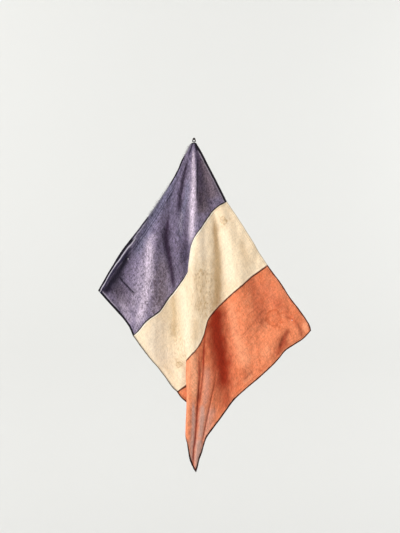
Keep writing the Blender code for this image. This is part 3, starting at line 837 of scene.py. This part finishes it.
def greyCottonLint():
    # Single cotton threads, bleached grey at the frayed edge, in patches of 8 mm
    material, tree = newMaterial("greyCottonLint")
    place = addNode(tree, "TexCoord", {}, "Object")
    patch = addNode(tree, "TexNoise", {"Vector": place, "Scale": 1 / (8.333 * mm), "Detail": 1.0})
    color = addNode(tree, "Mix", {0: patch, 6: hexColor("#6D6B78"), 7: hexColor("#B9B7B8")}, 2,
                    data_type="RGBA")
    lint = addNode(tree, "BsdfPrincipled", {"Base Color": color, "Roughness": 0.9, "Sheen Weight": 0.2})
    addNode(tree, "OutputMaterial", {0: lint})
    return material


def ringSides(middle, forward, reference, radius, sides):
    side = forward.cross(reference).normalized()
    up = side.cross(forward).normalized()
    angles = [2 * math.pi * k / sides for k in range(sides)]
    return [middle + (side * math.cos(angle) + up * math.sin(angle)) * radius for angle in angles]


# Corner loop: the edge cord, two plies twisted, turned over the nail, in millimetres
cornerLoop = {
    "shank": 1.6, "clearance": 0.3, "cord": 3.0, "standOff": 15.2, "footDrop": 9.7, "halfWidth": 6.0,
    "waist": (0.72, 0.55), "hip": (0.4, 0.86), "heel": 1.3,    # shares of the half width, cord and foot
    "twists": 9, "steps": 120, "plySides": 8, "ply": 0.66, "plyAway": 0.36,    # shares of half the cord
}


def loopPath():
    # half round over the nail, then down both sides to a level foot
    radius = cornerLoop["cord"] / 2
    crown = cornerLoop["shank"] + cornerLoop["clearance"] + radius
    foot, half = -cornerLoop["footDrop"] + radius, cornerLoop["halfWidth"]
    turns = [math.radians(30 * step) for step in range(7)]
    points = [(crown * math.cos(turn), crown * math.sin(turn)) for turn in turns]
    (waistOut, waistDown), (hipOut, hipDown) = cornerLoop["waist"], cornerLoop["hip"]
    leg = [(-half * waistOut, foot * waistDown), (-half + radius * hipOut, foot * hipDown),
           (-half + radius * cornerLoop["heel"], foot)]
    points += leg + [(0, foot)] + [(-x, z) for x, z in reversed(leg)]
    closed = points + points[:1]
    steps = np.linalg.norm(np.diff(np.array(closed), axis=0), axis=1)
    knots = np.concatenate([[0], np.cumsum(steps)])
    spots = np.linspace(0, knots[-1], cornerLoop["steps"], endpoint=False)
    x = np.interp(spots, knots, [p[0] for p in closed])
    z = np.interp(spots, knots, [p[1] for p in closed])
    for _ in range(3):
        x = (np.roll(x, 1) + 2 * x + np.roll(x, -1)) / 4
        z = (np.roll(z, 1) + 2 * z + np.roll(z, -1)) / 4
    return [Vector((a, -cornerLoop["standOff"], b)) * mm for a, b in zip(x, z)]


def makeCornerLoop():
    path = loopPath()
    count, sides = len(path), cornerLoop["plySides"]
    halfCord = cornerLoop["cord"] / 2 * mm
    toWall = Vector((0, 1, 0))
    verts, faces = [], []
    for strand in range(2):
        base = len(verts)
        middles = []
        for i, middle in enumerate(path):
            forward = (path[(i + 1) % count] - path[i - 1]).normalized()
            turn = 2 * math.pi * cornerLoop["twists"] * i / count + math.pi * strand
            out = toWall.cross(forward).normalized()
            aside = out * math.cos(turn) + toWall * math.sin(turn)
            middles.append(middle + aside * halfCord * cornerLoop["plyAway"])
        for i, middle in enumerate(middles):
            forward = (middles[(i + 1) % count] - middles[i - 1]).normalized()
            verts += ringSides(middle, forward, toWall, halfCord * cornerLoop["ply"], sides)
        for i in range(count):
            for k in range(sides):
                here, there = base + i * sides, base + (i + 1) % count * sides
                faces.append((here + k, here + (k + 1) % sides, there + (k + 1) % sides, there + k))
    piece = meshPiece("CornerLoopCord", verts, faces)
    bpy.ops.object.shade_smooth()
    piece.data.materials.append(darkCottonCord())
    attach(piece, "root")
    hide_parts("corner_loop")
    print("made corner loop")


def darkCottonCord():
    # Spun cotton cord, dyed dark blue and grimed: matt, with fine fibres along the ply.
    # Fibres are drawn 1.1 mm wide, as real ones are too fine to show
    material, tree = newMaterial("darkCottonCord")
    place = addNode(tree, "TexCoord", {}, "Object")
    fibres = addNode(tree, "TexNoise", {"Vector": place, "Scale": 1 / (1.111 * mm), "Detail": 3.0})
    grime = addNode(tree, "TexNoise", {"Vector": place, "Scale": 1 / (6.25 * mm), "Detail": 2.0})
    grime = addNode(tree, "Math", {0: grime, 1: 0.4}, operation="MULTIPLY")
    color = addNode(tree, "Mix", {0: fibres, 6: hexColor("#09070A"), 7: hexColor("#1E1A22")}, 2,
                    data_type="RGBA")
    color = addNode(tree, "Mix", {0: grime, 6: color, 7: hexColor("#1E1815")}, 2, data_type="RGBA")
    bump = addNode(tree, "Bump", {"Height": fibres, "Strength": 0.5, "Distance": 0.3 * mm})
    cord = addNode(tree, "BsdfPrincipled", {"Base Color": color, "Normal": bump, "Roughness": 0.9,
                                            "Sheen Weight": 0.05})
    addNode(tree, "OutputMaterial", {0: cord})
    return material


# Nail: a wire nail with a flat, slightly crowned head, made in steps: how far on, and how much wider
nail = {
    "shank": 1.6, "length": 20.5, "head": 4.0, "sides": 48, "rounding": 0.12,
    "neck": 0.15, "crown": ((0.9, 1.0), (0.3, 0.88), (0.2, 0.55)),
}


def makeNail():
    tip = -nail["length"] * mm
    bpy.ops.object.select_all(action="DESELECT")
    bpy.ops.mesh.primitive_cylinder_add(
        vertices=nail["sides"], radius=nail["shank"] * mm, depth=nail["length"] * mm,
        location=(0, tip / 2, 0), rotation=(math.pi / 2, 0, 0))
    piece = bpy.context.object
    piece.name = "WireNail"
    bpy.ops.object.transform_apply(location=True, rotation=True, scale=True)
    selectNone("FACE")
    for face in piece.data.polygons:
        face.select = abs(face.center.y - tip) < 1e-5 and len(face.vertices) > 4
    setMode("EDIT")
    for out, wider in ((nail["neck"], nail["head"] / nail["shank"]),) + nail["crown"]:
        bpy.ops.mesh.extrude_region_move(TRANSFORM_OT_translate={"value": (0, -out * mm, 0)})
        bpy.ops.transform.resize(value=(wider, 1, wider), center_override=(0, tip, 0))
    setMode("OBJECT")
    roundEdges(piece, nail["rounding"] * mm, 2)
    bpy.ops.object.shade_smooth_by_angle(angle=math.radians(40))
    piece.data.materials.append(dulledSteelWire())
    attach(piece, "root")
    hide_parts("nail")
    print("made nail")


def dulledSteelWire():
    # Bright drawn steel wire gone dull: brown-grey, with specks of rust 1.4 mm wide
    material, tree = newMaterial("dulledSteelWire")
    place = addNode(tree, "TexCoord", {}, "Object")
    specks = addNode(tree, "TexNoise", {"Vector": place, "Scale": 1 / (1.429 * mm), "Detail": 4.0})
    rust = addNode(tree, "MapRange", {0: specks, 1: 0.5, 2: 0.68})
    color = addNode(tree, "Mix", {0: rust, 6: hexColor("#3A3836"), 7: hexColor("#3A241A")}, 2,
                    data_type="RGBA")
    roughness = addNode(tree, "Math", {0: rust, 1: 0.35, 2: 0.42}, operation="MULTIPLY_ADD")
    metal = addNode(tree, "BsdfPrincipled", {"Base Color": color, "Roughness": roughness,
                                             "Metallic": 0.85})
    addNode(tree, "OutputMaterial", {0: metal})
    return material


# Studio, in metres: a pale sweep behind and below the cloth, a big soft lamp from the left, a weak one
# from the right and one on the backdrop: (name, place, target, size, power, colour)
studio = {
    "floor": -2.15, "back": 2.6, "half": 7.0, "height": 6.5, "curve": 1.2,
    "color": "#D1D2D1", "room": "#F4F4F2", "roomLight": 0.67,
    "lamps": (
        ("windowLight", (-6.4, -4.4, 2.3), (0, 0, -0.5), 3.2, 590, "#FFFDFA"),
        ("roomFill", (4.4, -6.4, 1.7), (0, 0, -0.5), 5.0, 150, "#FBF8F6"),
        ("backdropWash", (3.6, 0.7, 0.6), (2.2, 3.4, -0.6), 2.0, 42, "#FBFAF9"),
    ),
}


def makeStudio():
    middle = (0, studio["back"] - studio["half"], studio["floor"])
    bpy.ops.object.select_all(action="DESELECT")
    bpy.ops.mesh.primitive_plane_add(size=2 * studio["half"], location=middle)
    sweep = bpy.context.object
    sweep.name = "PaleSweep"
    mesh = sweep.data
    bpy.ops.object.transform_apply(location=True, rotation=True, scale=True)
    selectNone("EDGE")
    for edge in mesh.edges:
        edge.select = all(mesh.vertices[i].co.y > studio["back"] - 0.01 for i in edge.vertices)
    setMode("EDIT")
    bpy.ops.mesh.extrude_region_move(TRANSFORM_OT_translate={"value": (0, 0, studio["height"])})
    setMode("OBJECT")
    roundEdges(sweep, studio["curve"], 16)
    bpy.ops.object.shade_smooth()
    # a board with matt pale paint
    material, tree = newMaterial("palePaintedBoard")
    paint = addNode(tree, "BsdfPrincipled", {"Base Color": hexColor(studio["color"]), "Roughness": 0.9})
    addNode(tree, "OutputMaterial", {0: paint})
    mesh.materials.append(material)
    world = bpy.data.worlds.new("softRoom")
    bpy.context.scene.world = world
    world.use_nodes = True
    room = world.node_tree.nodes["Background"]
    room.inputs[0].default_value = hexColor(studio["room"])
    room.inputs[1].default_value = studio["roomLight"]
    for name, place, target, size, power, color in studio["lamps"]:
        data = bpy.data.lights.new(name, "AREA")
        data.shape = "DISK"
        data.size = size
        data.energy = power
        data.color = hexColor(color)[:3]
        lamp = bpy.data.objects.new(name, data)
        lamp.location = place
        lamp.rotation_euler = (Vector(target) - Vector(place)).to_track_quat("-Z", "Y").to_euler()
        bpy.context.scene.collection.objects.link(lamp)
    print("made studio")


# Camera: level, straight at the wall, as the photo was taken. Frame 400 x 533 px at 3.3 mm a pixel, which
# holds in the sharp plane, and the nail at its pixel
view = {"pixel": 3.3, "frameWidth": 400, "frameHeight": 533, "nailX": 194, "nailY": 138.5,
        "lens": 60.0, "sensor": 36.0, "sharpPlane": -0.03}


def makeCamera():
    data = bpy.data.cameras.new("photoView")
    data.lens = view["lens"]
    data.sensor_width = view["sensor"]
    camera = bpy.data.objects.new("photoView", data)
    tall = view["frameHeight"] * view["pixel"] * mm
    distance = tall * view["lens"] / view["sensor"]
    sideways = (view["frameWidth"] / 2 - view["nailX"]) * view["pixel"] * mm
    height = (view["nailY"] - view["frameHeight"] / 2) * view["pixel"] * mm
    camera.location = (sideways, view["sharpPlane"] - distance, height)
    camera.rotation_euler = (math.pi / 2, 0, 0)
    bpy.context.scene.collection.objects.link(camera)
    bpy.context.scene.camera = camera
    print("made camera")


makeCamera()
makeStudio()
for panel in (bluePanel, creamPanel, redPanel):
    makePanel(panel)
makeFray()
makeCornerLoop()
makeNail()

bpy.context.scene.view_settings.view_transform = "Standard"
